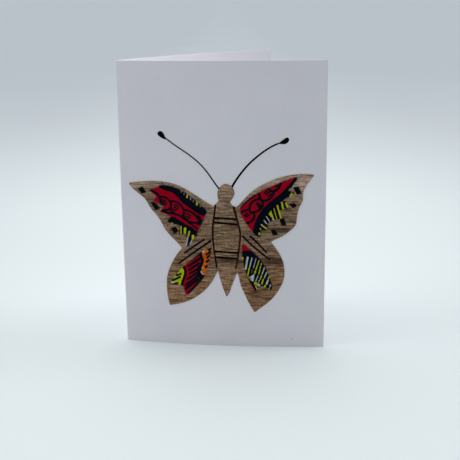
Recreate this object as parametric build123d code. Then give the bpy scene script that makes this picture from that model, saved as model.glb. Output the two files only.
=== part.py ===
from build123d import *
import os
from math import atan2, cos, degrees, hypot, radians, sin

# A folded greeting card that stands open on its lower edge, with a butterfly on its front.
# Lengths are millimetres and angles are degrees. The front panel's chord runs along X from
# the fold, the decorated face looks towards -Y, and the lower edge lies at Z = 0.

# Card stock
panel_width = 105.0        # of each panel, measured along the sheet
panel_height = 148.0
card_thickness = 0.36
front_bow_radius = 385.0   # outer face of the front panel, which bows a little forwards
back_bow_radius = 200.0    # outer face of the back panel, which bows more
opening_angle = 46.3       # between the chords of the two panels
fold_radius = 0.6          # outside of the crease

# Layers glued on the front, each on the one before
fibre_thickness = 0.30     # butterfly cut from a sheet of banana fibre
cloth_thickness = 0.24     # scraps of printed cotton
print_thickness = 0.05     # colour that stands on the cloth
sliver_thickness = 0.16    # dark slivers of banana bark
antenna_thickness = 0.12

# Decoration
bare_edge = 5.0            # of the front panel, past the decorated part
side_sliver_width = 0.82
side_sliver_tail_width = 0.66
right_side_sliver_width = 0.98
crossbar_width = 0.94
wing_sliver_width = 0.92
wing_sliver_end_width = 0.76
left_antenna_root_width = 0.72
left_antenna_tip_width = 0.60
right_antenna_root_width = 0.96
right_antenna_tip_width = 0.68

# All places on the front are shares of this width, from the fold and up from the lower edge
decorated_width = panel_width - bare_edge

# Butterfly: a tuple is a corner at the end of a straight edge, a list is one smooth curve
butterfly_shares = [
    [(0.105, 0.873), (0.165, 0.878), (0.225, 0.876), (0.290, 0.863), (0.370, 0.823), (0.481, 0.755)],
    [(0.490, 0.764), (0.508, 0.783)],
    [(0.504, 0.804), (0.503, 0.826), (0.512, 0.848), (0.529, 0.866), (0.544, 0.871),
     (0.562, 0.867), (0.580, 0.852), (0.589, 0.826), (0.582, 0.802), (0.566, 0.780)],
    [(0.575, 0.764), (0.598, 0.752)],
    [(0.620, 0.773), (0.655, 0.812), (0.699, 0.849), (0.752, 0.879), (0.815, 0.904),
     (0.876, 0.918), (0.932, 0.922), (0.986, 0.917)],
    [(0.965, 0.886), (0.941, 0.849), (0.931, 0.814), (0.932, 0.794), (0.917, 0.757),
     (0.905, 0.717), (0.902, 0.690), (0.893, 0.655), (0.873, 0.635), (0.838, 0.606),
     (0.805, 0.590), (0.773, 0.571)],
    [(0.796, 0.539), (0.822, 0.497), (0.837, 0.454), (0.842, 0.405), (0.836, 0.366),
     (0.819, 0.326), (0.790, 0.280), (0.752, 0.241), (0.706, 0.205)],
    [(0.700, 0.199), (0.688, 0.194), (0.681, 0.203)],
    [(0.655, 0.249), (0.634, 0.296), (0.614, 0.349), (0.603, 0.398), (0.599, 0.406)],
    [(0.588, 0.380), (0.570, 0.332), (0.548, 0.280), (0.544, 0.276), (0.540, 0.280)],
    [(0.519, 0.339), (0.506, 0.388), (0.500, 0.417)],
    [(0.485, 0.385), (0.457, 0.339), (0.421, 0.298), (0.375, 0.262), (0.310, 0.231),
     (0.255, 0.218)],
    [(0.246, 0.215), (0.239, 0.222)],
    [(0.231, 0.262), (0.227, 0.318), (0.230, 0.367), (0.241, 0.408), (0.262, 0.453),
     (0.287, 0.496), (0.315, 0.529)],
    [(0.290, 0.557), (0.250, 0.599), (0.226, 0.629), (0.208, 0.665), (0.184, 0.701),
     (0.154, 0.737), (0.124, 0.785), (0.090, 0.813), (0.060, 0.837)],
    [(0.047, 0.852), (0.044, 0.861), (0.052, 0.866)],
]

# Cloth on the left forewing
left_forewing_shares = [
    [(0.268, 0.853), (0.284, 0.848), (0.300, 0.842)],
    (0.311, 0.838), (0.318, 0.829), (0.329, 0.829), (0.334, 0.821), (0.344, 0.821),
    (0.346, 0.813), (0.353, 0.812), (0.356, 0.808), (0.362, 0.804), (0.364, 0.794),
    (0.372, 0.796), (0.377, 0.793), (0.379, 0.783), (0.386, 0.787), (0.391, 0.781),
    (0.394, 0.776), (0.401, 0.774), (0.405, 0.768), (0.411, 0.763), (0.414, 0.757),
    (0.420, 0.756), (0.427, 0.751),
    [(0.437, 0.742), (0.447, 0.728)],
    [(0.437, 0.701), (0.420, 0.664), (0.389, 0.594)],
    (0.381, 0.596), (0.380, 0.582), (0.369, 0.571), (0.357, 0.549), (0.350, 0.547),
    (0.342, 0.538), (0.333, 0.541), (0.342, 0.582), (0.338, 0.607), (0.302, 0.603),
    (0.305, 0.652), (0.271, 0.658), (0.239, 0.666), (0.260, 0.697), (0.229, 0.710),
    (0.203, 0.719), (0.228, 0.749), (0.192, 0.764), (0.168, 0.779), (0.186, 0.797),
    (0.172, 0.813), (0.150, 0.829), (0.168, 0.838), (0.199, 0.850), (0.209, 0.858),
]
left_forewing_black_field_shares = [
    [
        [(0.240, 0.831), (0.271, 0.822), (0.300, 0.796), (0.331, 0.765), (0.370, 0.737),
         (0.406, 0.713), (0.446, 0.706)],
        (0.470, 0.730), (0.400, 0.810), (0.300, 0.880), (0.205, 0.880), (0.199, 0.850),
    ],
    [
        [(0.286, 0.689), (0.310, 0.674), (0.331, 0.662), (0.352, 0.650), (0.370, 0.644),
         (0.385, 0.632), (0.403, 0.619)],
        (0.420, 0.600), (0.400, 0.560), (0.340, 0.530), (0.290, 0.590), (0.220, 0.660),
        (0.258, 0.697),
    ],
]
left_forewing_black_line_shares = [
    ([(0.148, 0.830), (0.175, 0.823), (0.197, 0.806), (0.207, 0.785), (0.212, 0.766)], 0.013),
    ([(0.204, 0.797), (0.226, 0.797), (0.246, 0.788), (0.259, 0.772), (0.264, 0.755),
      (0.259, 0.741), (0.243, 0.731), (0.215, 0.728)], 0.011),
    ([(0.262, 0.773), (0.283, 0.776), (0.302, 0.768), (0.318, 0.752), (0.328, 0.734),
      (0.330, 0.716), (0.322, 0.706)], 0.011),
    ([(0.326, 0.734), (0.354, 0.729), (0.373, 0.719), (0.389, 0.706), (0.401, 0.690),
      (0.406, 0.675), (0.395, 0.667)], 0.011),
    ([(0.212, 0.726), (0.256, 0.714), (0.300, 0.705), (0.333, 0.684), (0.366, 0.669),
      (0.400, 0.664), (0.418, 0.656)], 0.011),
    ([(0.250, 0.742), (0.262, 0.728), (0.282, 0.712)], 0.010),
    ([(0.322, 0.708), (0.328, 0.696), (0.342, 0.684)], 0.011),
    ([(0.347, 0.668), (0.372, 0.655), (0.391, 0.641), (0.403, 0.631)], 0.008),
    ([(0.398, 0.706), (0.411, 0.690), (0.414, 0.664)], 0.015),
]
left_forewing_black_dash_shares = [
    (0.208, 0.786, 0.236, 0.776, 0.009), (0.208, 0.774, 0.241, 0.762, 0.009),
    (0.208, 0.762, 0.233, 0.752, 0.009), (0.280, 0.761, 0.303, 0.749, 0.008),
    (0.277, 0.748, 0.300, 0.735, 0.008), (0.266, 0.738, 0.290, 0.726, 0.008),
    (0.340, 0.717, 0.366, 0.703, 0.008), (0.335, 0.704, 0.362, 0.690, 0.008),
    (0.334, 0.691, 0.352, 0.682, 0.008), (0.413, 0.675, 0.431, 0.679, 0.010),
]
left_forewing_yellow_dash_shares = [
    (0.313, 0.648, 0.311, 0.605, 0.006), (0.334, 0.640, 0.331, 0.608, 0.012),
    (0.356, 0.623, 0.350, 0.597, 0.009), (0.374, 0.603, 0.372, 0.578, 0.012),
    (0.349, 0.814, 0.347, 0.795, 0.008), (0.398, 0.776, 0.397, 0.758, 0.008),
    (0.416, 0.760, 0.416, 0.751, 0.004), (0.258, 0.661, 0.272, 0.660, 0.006),
]
left_forewing_white_dash_shares = [
    (0.349, 0.596, 0.337, 0.543, 0.006), (0.369, 0.577, 0.356, 0.550, 0.006),
    (0.317, 0.834, 0.319, 0.825, 0.005), (0.333, 0.822, 0.332, 0.812, 0.003),
    (0.365, 0.796, 0.366, 0.785, 0.004), (0.380, 0.785, 0.379, 0.774, 0.003),
    (0.236, 0.669, 0.243, 0.661, 0.006),
]

# Cloth on the right forewing
right_forewing_shares = [
    [(0.652, 0.788), (0.693, 0.819), (0.752, 0.850), (0.820, 0.881), (0.902, 0.908)],
    [(0.898, 0.889), (0.887, 0.875), (0.879, 0.859)],
    (0.865, 0.848), (0.866, 0.838), (0.878, 0.832), (0.890, 0.825), (0.878, 0.818),
    (0.868, 0.806), (0.852, 0.803), (0.831, 0.787), (0.848, 0.785), (0.858, 0.773),
    (0.859, 0.755), (0.848, 0.749), (0.829, 0.741), (0.817, 0.738), (0.826, 0.699),
    (0.806, 0.691), (0.787, 0.688), (0.768, 0.678), (0.754, 0.665), (0.756, 0.643),
    (0.750, 0.632), (0.729, 0.634), (0.720, 0.627), (0.721, 0.614), (0.717, 0.598),
    (0.698, 0.604),
    [(0.671, 0.636), (0.643, 0.676), (0.620, 0.724), (0.616, 0.747)],
]
right_forewing_black_field_shares = [
    [
        [(0.860, 0.866), (0.822, 0.826), (0.769, 0.783), (0.723, 0.734), (0.699, 0.690),
         (0.681, 0.626)],
        (0.690, 0.580), (0.800, 0.600), (0.950, 0.800), (0.930, 0.930), (0.893, 0.910),
    ],
]
right_forewing_black_line_shares = [
    ([(0.612, 0.748), (0.640, 0.779), (0.668, 0.802), (0.694, 0.820)], 0.016),
    ([(0.672, 0.724), (0.665, 0.740), (0.668, 0.762), (0.682, 0.783), (0.700, 0.793),
      (0.719, 0.798)], 0.011),
    ([(0.716, 0.800), (0.730, 0.783), (0.733, 0.766), (0.724, 0.749), (0.709, 0.737),
      (0.693, 0.729), (0.668, 0.727)], 0.012),
    ([(0.711, 0.828), (0.716, 0.813), (0.718, 0.797)], 0.013),
    ([(0.716, 0.796), (0.740, 0.788), (0.760, 0.793), (0.775, 0.806), (0.784, 0.820),
      (0.787, 0.834)], 0.012),
    ([(0.755, 0.856), (0.765, 0.845), (0.776, 0.838)], 0.011),
    ([(0.766, 0.839), (0.787, 0.836), (0.804, 0.846), (0.816, 0.862), (0.819, 0.884)], 0.013),
    ([(0.666, 0.727), (0.683, 0.723), (0.690, 0.712), (0.687, 0.697), (0.675, 0.682),
      (0.659, 0.672), (0.645, 0.670)], 0.012),
    ([(0.618, 0.721), (0.640, 0.735), (0.660, 0.742)], 0.011),
]
right_forewing_black_dash_shares = [
    (0.700, 0.767, 0.709, 0.780, 0.009), (0.705, 0.756, 0.718, 0.774, 0.009),
    (0.712, 0.748, 0.725, 0.767, 0.009), (0.739, 0.827, 0.756, 0.841, 0.009),
    (0.746, 0.817, 0.769, 0.836, 0.009), (0.757, 0.807, 0.775, 0.824, 0.009),
    (0.636, 0.707, 0.657, 0.726, 0.009), (0.645, 0.701, 0.665, 0.716, 0.009),
    (0.794, 0.857, 0.810, 0.869, 0.009),
]
right_forewing_yellow_field_shares = [
    [(0.773, 0.737), (0.760, 0.719), (0.780, 0.697), (0.787, 0.700)],
]
right_forewing_yellow_dash_shares = [
    (0.828, 0.774, 0.834, 0.745, 0.009), (0.847, 0.779, 0.856, 0.754, 0.010),
    (0.804, 0.765, 0.823, 0.696, 0.008), (0.787, 0.749, 0.803, 0.690, 0.004),
    (0.732, 0.657, 0.752, 0.641, 0.008), (0.717, 0.644, 0.722, 0.636, 0.006),
    (0.714, 0.622, 0.714, 0.609, 0.009), (0.878, 0.827, 0.868, 0.808, 0.009),
]
right_forewing_white_dash_shares = [
    (0.749, 0.707, 0.766, 0.680, 0.005), (0.737, 0.687, 0.752, 0.668, 0.006),
    (0.724, 0.665, 0.731, 0.657, 0.008), (0.780, 0.696, 0.789, 0.687, 0.008),
    (0.826, 0.782, 0.828, 0.775, 0.009), (0.864, 0.845, 0.870, 0.837, 0.007),
]

# Cloth on the left hindwing
left_hindwing_shares = [
    (0.339, 0.449), (0.379, 0.482), (0.405, 0.506), (0.418, 0.515), (0.436, 0.525),
    (0.449, 0.530), (0.470, 0.540), (0.470, 0.528), (0.461, 0.495), (0.454, 0.459),
    (0.443, 0.426), (0.433, 0.390), (0.428, 0.380),
    [(0.405, 0.349), (0.374, 0.313), (0.342, 0.280)],
    [(0.334, 0.277), (0.327, 0.281)],
    (0.323, 0.293), (0.320, 0.316), (0.313, 0.326), (0.302, 0.329), (0.290, 0.332),
    (0.266, 0.334), (0.249, 0.340), (0.256, 0.353), (0.274, 0.377), (0.290, 0.395),
    (0.311, 0.425), (0.316, 0.428),
]
left_hindwing_orange_field_shares = [
    [
        [(0.419, 0.490), (0.427, 0.468), (0.421, 0.449), (0.415, 0.436), (0.409, 0.420),
         (0.413, 0.405), (0.423, 0.392), (0.434, 0.386)],
        (0.480, 0.380), (0.500, 0.560), (0.420, 0.560), (0.419, 0.512),
    ],
]
left_hindwing_yellow_field_shares = [
    [
        [(0.325, 0.401), (0.318, 0.375), (0.309, 0.349), (0.303, 0.324)],
        (0.220, 0.320), (0.240, 0.440), (0.314, 0.430),
    ],
]
left_hindwing_black_line_shares = [
    ([(0.317, 0.430), (0.329, 0.405), (0.324, 0.378), (0.314, 0.350), (0.308, 0.323)], 0.013),
    ([(0.414, 0.516), (0.414, 0.490), (0.421, 0.468), (0.415, 0.449), (0.408, 0.432),
      (0.404, 0.418), (0.408, 0.402), (0.418, 0.388), (0.430, 0.380)], 0.014),
    ([(0.406, 0.440), (0.402, 0.415), (0.404, 0.390), (0.415, 0.375)], 0.022),
    ([(0.354, 0.464), (0.380, 0.486), (0.412, 0.509)], 0.014),
    ([(0.342, 0.287), (0.374, 0.319), (0.402, 0.352), (0.424, 0.380)], 0.014),
]
left_hindwing_black_dash_shares = [
    (0.346, 0.434, 0.411, 0.481, 0.013), (0.346, 0.411, 0.404, 0.454, 0.012),
    (0.346, 0.392, 0.404, 0.425, 0.011), (0.335, 0.361, 0.400, 0.407, 0.012),
    (0.328, 0.329, 0.396, 0.385, 0.013), (0.324, 0.306, 0.399, 0.369, 0.013),
    (0.451, 0.523, 0.470, 0.541, 0.012), (0.439, 0.498, 0.467, 0.519, 0.011),
    (0.442, 0.481, 0.463, 0.500, 0.010), (0.439, 0.459, 0.459, 0.475, 0.011),
    (0.433, 0.430, 0.448, 0.441, 0.012), (0.278, 0.380, 0.309, 0.392, 0.010),
    (0.252, 0.349, 0.304, 0.376, 0.011), (0.264, 0.333, 0.291, 0.342, 0.010),
]
left_hindwing_white_dash_shares = [
    (0.421, 0.514, 0.430, 0.516, 0.009), (0.416, 0.428, 0.423, 0.427, 0.008),
    (0.411, 0.410, 0.416, 0.398, 0.005), (0.416, 0.398, 0.424, 0.391, 0.005),
    (0.249, 0.340, 0.266, 0.345, 0.010),
]

# Cloth on the right hindwing
right_hindwing_shares = [
    (0.623, 0.548), (0.626, 0.521), (0.626, 0.495), (0.629, 0.474), (0.637, 0.436),
    (0.649, 0.390), (0.665, 0.354), (0.685, 0.313), (0.691, 0.307), (0.698, 0.314),
    (0.703, 0.323), (0.714, 0.336), (0.730, 0.337), (0.744, 0.329), (0.755, 0.323),
    (0.766, 0.319), (0.774, 0.314), (0.780, 0.334),
    [(0.775, 0.352), (0.765, 0.382), (0.752, 0.420), (0.736, 0.453), (0.711, 0.488),
     (0.681, 0.518), (0.634, 0.562)],
]
right_hindwing_red_field_shares = [
    [(0.610, 0.526), (0.690, 0.526), (0.690, 0.570), (0.610, 0.570)],
]
right_hindwing_red_dash_shares = [
    (0.667, 0.345, 0.688, 0.305, 0.010),
]
right_hindwing_white_field_shares = [
    [(0.664, 0.386), (0.683, 0.398), (0.679, 0.358)],
]
right_hindwing_white_dash_shares = [
    (0.655, 0.494, 0.643, 0.424, 0.010), (0.677, 0.490, 0.664, 0.438, 0.006),
    (0.697, 0.486, 0.683, 0.432, 0.004), (0.685, 0.400, 0.679, 0.362, 0.009),
    (0.725, 0.460, 0.722, 0.448, 0.005), (0.707, 0.393, 0.694, 0.360, 0.005),
    (0.740, 0.437, 0.727, 0.400, 0.006), (0.752, 0.413, 0.738, 0.378, 0.006),
    (0.759, 0.371, 0.749, 0.344, 0.009), (0.772, 0.346, 0.767, 0.331, 0.006),
    (0.702, 0.345, 0.717, 0.338, 0.013), (0.714, 0.369, 0.710, 0.358, 0.005),
]
right_hindwing_yellow_dash_shares = [
    (0.663, 0.436, 0.653, 0.392, 0.008), (0.653, 0.390, 0.673, 0.365, 0.005),
    (0.713, 0.475, 0.695, 0.422, 0.007), (0.695, 0.420, 0.689, 0.402, 0.009),
    (0.721, 0.446, 0.709, 0.396, 0.006), (0.726, 0.397, 0.717, 0.371, 0.007),
    (0.735, 0.376, 0.725, 0.345, 0.008), (0.762, 0.387, 0.759, 0.373, 0.008),
    (0.746, 0.342, 0.740, 0.330, 0.010), (0.765, 0.329, 0.762, 0.319, 0.006),
    (0.686, 0.352, 0.703, 0.350, 0.013), (0.692, 0.342, 0.702, 0.320, 0.007),
    (0.630, 0.492, 0.628, 0.474, 0.007), (0.709, 0.356, 0.705, 0.349, 0.006),
    (0.679, 0.427, 0.673, 0.407, 0.003),
]

# Dark slivers and snippets, and the two antennae
left_side_sliver_shares = [
    (0.492, 0.762), (0.487, 0.723), (0.480, 0.676), (0.4755, 0.612), (0.479, 0.548),
    (0.487, 0.486), (0.4935, 0.430),
]
right_side_sliver_shares = [
    (0.584, 0.754), (0.596, 0.708), (0.609, 0.657), (0.617, 0.605), (0.612, 0.554),
    (0.606, 0.502), (0.591, 0.427),
]
upper_crossbar_shares = (0.484, 0.695, 0.601, 0.689)
second_crossbar_shares = (0.481, 0.671, 0.606, 0.663)
third_crossbar_shares = (0.482, 0.518, 0.606, 0.512)
lower_crossbar_shares = (0.486, 0.487, 0.602, 0.481)
left_upper_sliver_shares = [(0.434, 0.581), (0.380, 0.544), (0.325, 0.503)]
left_lower_sliver_shares = [(0.467, 0.575), (0.420, 0.541), (0.352, 0.491), (0.292, 0.444)]
right_upper_sliver_shares = [(0.665, 0.602), (0.702, 0.569), (0.728, 0.540), (0.750, 0.516)]
right_lower_sliver_shares = [
    (0.629, 0.603), (0.662, 0.567), (0.700, 0.533), (0.738, 0.501), (0.768, 0.477),
]
left_tip_snippet_shares = [(0.089, 0.837), (0.115, 0.847), (0.134, 0.819), (0.110, 0.811)]
left_edge_snippet_shares = [(0.154, 0.768), (0.177, 0.769), (0.205, 0.736), (0.180, 0.728)]
left_lower_snippet_shares = [(0.258, 0.635), (0.285, 0.642), (0.298, 0.619), (0.276, 0.605)]
right_tip_snippet_shares = [(0.883, 0.856), (0.909, 0.859), (0.925, 0.823), (0.901, 0.819)]
right_edge_snippet_shares = [
    (0.859, 0.770), (0.892, 0.775), (0.902, 0.757), (0.879, 0.749), (0.872, 0.762),
]
right_middle_snippet_shares = [(0.816, 0.690), (0.837, 0.697), (0.851, 0.660), (0.827, 0.658)]
right_lower_snippet_shares = [(0.772, 0.636), (0.793, 0.636), (0.809, 0.611), (0.783, 0.607)]
left_antenna_shares = [
    (0.515, 0.840), (0.494, 0.869), (0.458, 0.922), (0.418, 0.9695), (0.368, 1.012),
    (0.305, 1.0545), (0.252, 1.093),
]
left_club_shares = [
    [(0.238, 1.111), (0.226, 1.129), (0.215, 1.132), (0.205, 1.121), (0.213, 1.107),
     (0.230, 1.096), (0.252, 1.091)],
    (0.254, 1.095),
]
right_antenna_shares = [
    (0.573, 0.848), (0.588, 0.875), (0.620, 0.922), (0.664, 0.974), (0.723, 1.0255),
    (0.777, 1.0615), (0.806, 1.075),
]
right_club_shares = [
    [(0.826, 1.088), (0.844, 1.101), (0.853, 1.104), (0.860, 1.097), (0.856, 1.084),
     (0.844, 1.0745), (0.822, 1.074), (0.806, 1.0725)],
    (0.805, 1.077),
]


def place(share_x, share_z):
    return share_x * decorated_width, share_z * decorated_width


def outline(runs):
    lines = []
    start = runs[-1] if isinstance(runs[-1], tuple) else runs[-1][-1]
    for run in runs:
        ends = [run] if isinstance(run, tuple) else run
        points = [place(*share) for share in [start] + ends]
        lines.append(Line(*points) if len(points) == 2 else Spline(*points))
        start = ends[-1]
    return make_face(lines)


def dash(shares):
    start_x, start_z, end_x, end_z, width = [share * decorated_width for share in shares]
    return strip((start_x, start_z), (end_x, end_z), width)


def strip(start, end, width):
    run_x = end[0] - start[0]
    run_z = end[1] - start[1]
    middle = Pos((start[0] + end[0]) / 2, (start[1] + end[1]) / 2)
    return middle * Rot(0, 0, degrees(atan2(run_z, run_x))) * Rectangle(hypot(run_x, run_z), width)


def strand(point_shares, root_width, tip_width):
    path = Spline(*[place(*share) for share in point_shares])
    stations = [index / len(point_shares) for index in range(len(point_shares) + 1)]
    left_side = []
    right_side = []
    for station in stations:
        sideways = (path % station).rotate(Axis.Z, 90)
        half_width = (root_width + (tip_width - root_width) * station) / 2
        left_side.append((path @ station) + sideways * half_width)
        right_side.append((path @ station) - sideways * half_width)
    return make_face([
        Spline(*left_side),
        Line(left_side[-1], right_side[-1]),
        Spline(*reversed(right_side)),
        Line(right_side[0], left_side[0]),
    ])


def united(sketches):
    total = sketches[0]
    for sketch in sketches[1:]:
        total += sketch
    return total


# Each panel's outer face is part of an upright cylinder
front_half_angle = degrees(panel_width / front_bow_radius / 2)
back_half_angle = degrees(panel_width / back_bow_radius / 2)
front_chord = 2 * front_bow_radius * sin(radians(front_half_angle))
back_chord = 2 * back_bow_radius * sin(radians(back_half_angle))
front_centre = Vector(front_chord / 2, front_bow_radius * cos(radians(front_half_angle)))
back_direction = Vector(1, 0).rotate(Axis.Z, opening_angle)
back_inward = Vector(0, -1).rotate(Axis.Z, opening_angle)
back_centre = back_direction * (back_chord / 2) + back_inward * (
    back_bow_radius * cos(radians(back_half_angle)))


def make_card():
    front_middle = front_centre - Vector(0, front_bow_radius)
    back_middle = back_centre - back_inward * back_bow_radius
    front_line = ThreePointArc((front_chord, 0), front_middle, (0, 0))
    back_line = ThreePointArc((0, 0), back_middle, back_direction * back_chord)
    outside = Wire([front_line.edge(), back_line.edge()])
    crease = outside.vertices().sort_by_distance(Vector(0, 0, 0))[0]
    outside = outside.fillet_2d(fold_radius, [crease])
    section = outside.offset_2d(card_thickness, side=Side.RIGHT, closed=True)
    return extrude(make_face(section), panel_height)


def on_front(sketch, lift, thickness):
    upright = (Align.CENTER, Align.CENTER, Align.MIN)
    inner_radius = front_bow_radius + lift
    ring = Cylinder(inner_radius + thickness, panel_height, align=upright)
    ring -= Cylinder(inner_radius, panel_height, align=upright)
    prism = extrude(Plane.XZ * sketch, panel_width, both=True)
    return prism & (Pos(front_centre.X, front_centre.Y) * ring)


pieces = {"folded_card": make_card()}

# Butterfly cut-out
butterfly_sketch = outline(butterfly_shares)
pieces["butterfly_cutout"] = on_front(butterfly_sketch, 0, fibre_thickness)


def lines(line_shares):
    return [strand(points, width * decorated_width, width * decorated_width)
            for points, width in line_shares]


def dashes(dash_shares):
    return [dash(shares) for shares in dash_shares]


def fields(field_shares):
    return [outline(shares) for shares in field_shares]


# Four scraps of cloth and the colours printed on them, each colour trimmed by those before it
def add_cloth(name, cloth_shares, prints):
    cloth_sketch = outline(cloth_shares)
    pieces[name + "_cloth"] = on_front(cloth_sketch, fibre_thickness, cloth_thickness)
    bare_sketch = cloth_sketch
    for colour, sketches in prints:
        sketch = united(sketches) & bare_sketch
        pieces[name + "_" + colour + "_print"] = on_front(
            sketch, fibre_thickness + cloth_thickness, print_thickness)
        bare_sketch -= sketch


add_cloth("left_forewing", left_forewing_shares, [
    ("white", dashes(left_forewing_white_dash_shares)),
    ("yellow", dashes(left_forewing_yellow_dash_shares)),
    ("black", fields(left_forewing_black_field_shares)
     + lines(left_forewing_black_line_shares) + dashes(left_forewing_black_dash_shares)),
])
add_cloth("right_forewing", right_forewing_shares, [
    ("white", dashes(right_forewing_white_dash_shares)),
    ("yellow", fields(right_forewing_yellow_field_shares)
     + dashes(right_forewing_yellow_dash_shares)),
    ("black", fields(right_forewing_black_field_shares)
     + lines(right_forewing_black_line_shares) + dashes(right_forewing_black_dash_shares)),
])
add_cloth("left_hindwing", left_hindwing_shares, [
    ("white", dashes(left_hindwing_white_dash_shares)),
    ("black", lines(left_hindwing_black_line_shares) + dashes(left_hindwing_black_dash_shares)),
    ("orange", fields(left_hindwing_orange_field_shares)),
    ("yellow", fields(left_hindwing_yellow_field_shares)),
])
add_cloth("right_hindwing", right_hindwing_shares, [
    ("white", fields(right_hindwing_white_field_shares) + dashes(right_hindwing_white_dash_shares)),
    ("yellow", dashes(right_hindwing_yellow_dash_shares)),
    ("red", fields(right_hindwing_red_field_shares) + dashes(right_hindwing_red_dash_shares)),
])


# Slivers beside and across the body
def add_sliver(name, sketch):
    pieces[name] = on_front(sketch, fibre_thickness, sliver_thickness)


left_side_sketch = strand(left_side_sliver_shares, side_sliver_width, side_sliver_tail_width)
right_side_sketch = strand(right_side_sliver_shares, right_side_sliver_width, side_sliver_tail_width)
add_sliver("left_side_sliver", left_side_sketch)
add_sliver("right_side_sliver", right_side_sketch)


for name, shares in [
    ("upper_crossbar", upper_crossbar_shares),
    ("second_crossbar", second_crossbar_shares),
    ("third_crossbar", third_crossbar_shares),
    ("lower_crossbar", lower_crossbar_shares),
]:
    bar = strip(place(*shares[:2]), place(*shares[2:]), crossbar_width)
    bar = bar - left_side_sketch - right_side_sketch
    add_sliver(name, bar.faces().sort_by(SortBy.AREA)[-1])

for name, shares in [
    ("left_upper_wing_sliver", left_upper_sliver_shares),
    ("left_lower_wing_sliver", left_lower_sliver_shares),
    ("right_upper_wing_sliver", right_upper_sliver_shares),
    ("right_lower_wing_sliver", right_lower_sliver_shares),
]:
    add_sliver(name, strand(shares, wing_sliver_width, wing_sliver_end_width))

# Snippets of dark cloth along the edges of the forewings
for name, shares in [
    ("left_tip_snippet", left_tip_snippet_shares),
    ("left_edge_snippet", left_edge_snippet_shares),
    ("left_lower_snippet", left_lower_snippet_shares),
    ("right_tip_snippet", right_tip_snippet_shares),
    ("right_edge_snippet", right_edge_snippet_shares),
    ("right_middle_snippet", right_middle_snippet_shares),
    ("right_lower_snippet", right_lower_snippet_shares),
]:
    pieces[name] = on_front(outline(shares), fibre_thickness, cloth_thickness)

# Antennae lie on the card itself, and their roots butt against the head
for name, antenna_shares, root_width, tip_width, club_shares in [
    ("left_antenna", left_antenna_shares, left_antenna_root_width, left_antenna_tip_width,
     left_club_shares),
    ("right_antenna", right_antenna_shares, right_antenna_root_width, right_antenna_tip_width,
     right_club_shares),
]:
    feeler = strand(antenna_shares, root_width, tip_width)
    feeler = feeler + outline(club_shares) - butterfly_sketch
    pieces[name] = on_front(feeler.faces().sort_by(SortBy.AREA)[-1], 0, antenna_thickness)

# The origin is under the middle of the whole part, at the lower edge
extent = Compound(list(pieces.values())).bounding_box()
to_origin = Pos(-extent.center().X, -extent.center().Y, 0)
print("fold at", round(to_origin.position.X, 3), round(to_origin.position.Y, 3))

os.makedirs("parts", exist_ok=True)
for name, piece in pieces.items():
    export_step(to_origin * piece, "parts/" + name + ".step")
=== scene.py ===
import bmesh
import bpy
import math
import numpy as np
from mathutils import Matrix, Vector, noise
from mathutils.geometry import delaunay_2d_cdt


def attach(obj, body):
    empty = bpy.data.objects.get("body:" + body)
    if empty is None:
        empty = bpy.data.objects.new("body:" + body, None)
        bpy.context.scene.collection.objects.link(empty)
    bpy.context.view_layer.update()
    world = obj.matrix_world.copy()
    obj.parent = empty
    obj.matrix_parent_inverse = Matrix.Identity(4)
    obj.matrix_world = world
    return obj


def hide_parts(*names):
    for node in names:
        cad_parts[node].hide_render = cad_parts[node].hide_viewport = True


# A folded greeting card with a butterfly of banana fibre, printed cotton and bark slivers on its front.
# Places on the card are millimetres, X to the right and Z up as seen from the front.

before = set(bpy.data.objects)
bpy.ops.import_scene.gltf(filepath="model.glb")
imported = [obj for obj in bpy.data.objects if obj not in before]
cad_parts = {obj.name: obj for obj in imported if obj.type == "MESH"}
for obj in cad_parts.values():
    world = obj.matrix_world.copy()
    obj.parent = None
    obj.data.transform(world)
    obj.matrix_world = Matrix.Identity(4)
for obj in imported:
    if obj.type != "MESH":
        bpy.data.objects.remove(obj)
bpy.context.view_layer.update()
mm = 0.001


# Colours, names, objects and nodes

def linear(channel):
    share = channel / 255
    return share / 12.92 if share <= 0.04045 else ((share + 0.055) / 1.055) ** 2.4


def paint(colour):
    return (*[linear(channel) for channel in colour], 1.0)


def camel(name):
    first, *rest = name.split("_")
    return first + "".join(word.capitalize() for word in rest)


def metres(form, *names):
    # a tree's inputs in metres, from a piece's values in millimetres
    return {name.capitalize(): form[name] * mm for name in names}


def linked(name, data):
    made = bpy.data.objects.new(name, data)
    bpy.context.scene.collection.objects.link(made)
    return made


def feed(tree, socket, value):
    if isinstance(value, bpy.types.NodeSocket):
        tree.links.new(value, socket)
    elif value is not None:
        socket.default_value = value


def put(tree, kind, feeds=None, **settings):
    made = tree.nodes.new(kind)
    for name, value in settings.items():
        setattr(made, name, value)
    for name, value in (feeds or {}).items():
        feed(tree, made.inputs[name], value)
    return made


def take(tree, kind, feeds=None, **settings):
    return put(tree, kind, feeds, **settings).outputs[0]


def maths(tree, operation, *values, clamp=False):
    made = put(tree, "ShaderNodeMath", operation=operation, use_clamp=clamp)
    for socket, value in zip(made.inputs, values):
        feed(tree, socket, value)
    return made.outputs[0]


def times(tree, first, second):
    return maths(tree, "MULTIPLY", first, second)


def vectors(tree, operation, first, second):
    other = "Scale" if operation == "SCALE" else 1
    return take(tree, "ShaderNodeVectorMath", {0: first, other: second}, operation=operation)


def combined(tree, **axes):
    return take(tree, "ShaderNodeCombineXYZ", axes)


def axesOf(tree, vector):
    return put(tree, "ShaderNodeSeparateXYZ", {0: vector}).outputs


def rotated(tree, vector, axis, angle):
    return take(tree, "ShaderNodeVectorRotate", {"Vector": vector, "Angle": angle}, rotation_type=axis)


def spread(tree, value, fromLow, fromHigh, toLow=0.0, toHigh=1.0, **settings):
    return take(tree, "ShaderNodeMapRange", {
        "Value": value, "From Min": fromLow, "From Max": fromHigh, "To Min": toLow, "To Max": toHigh,
    }, **settings)


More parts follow.
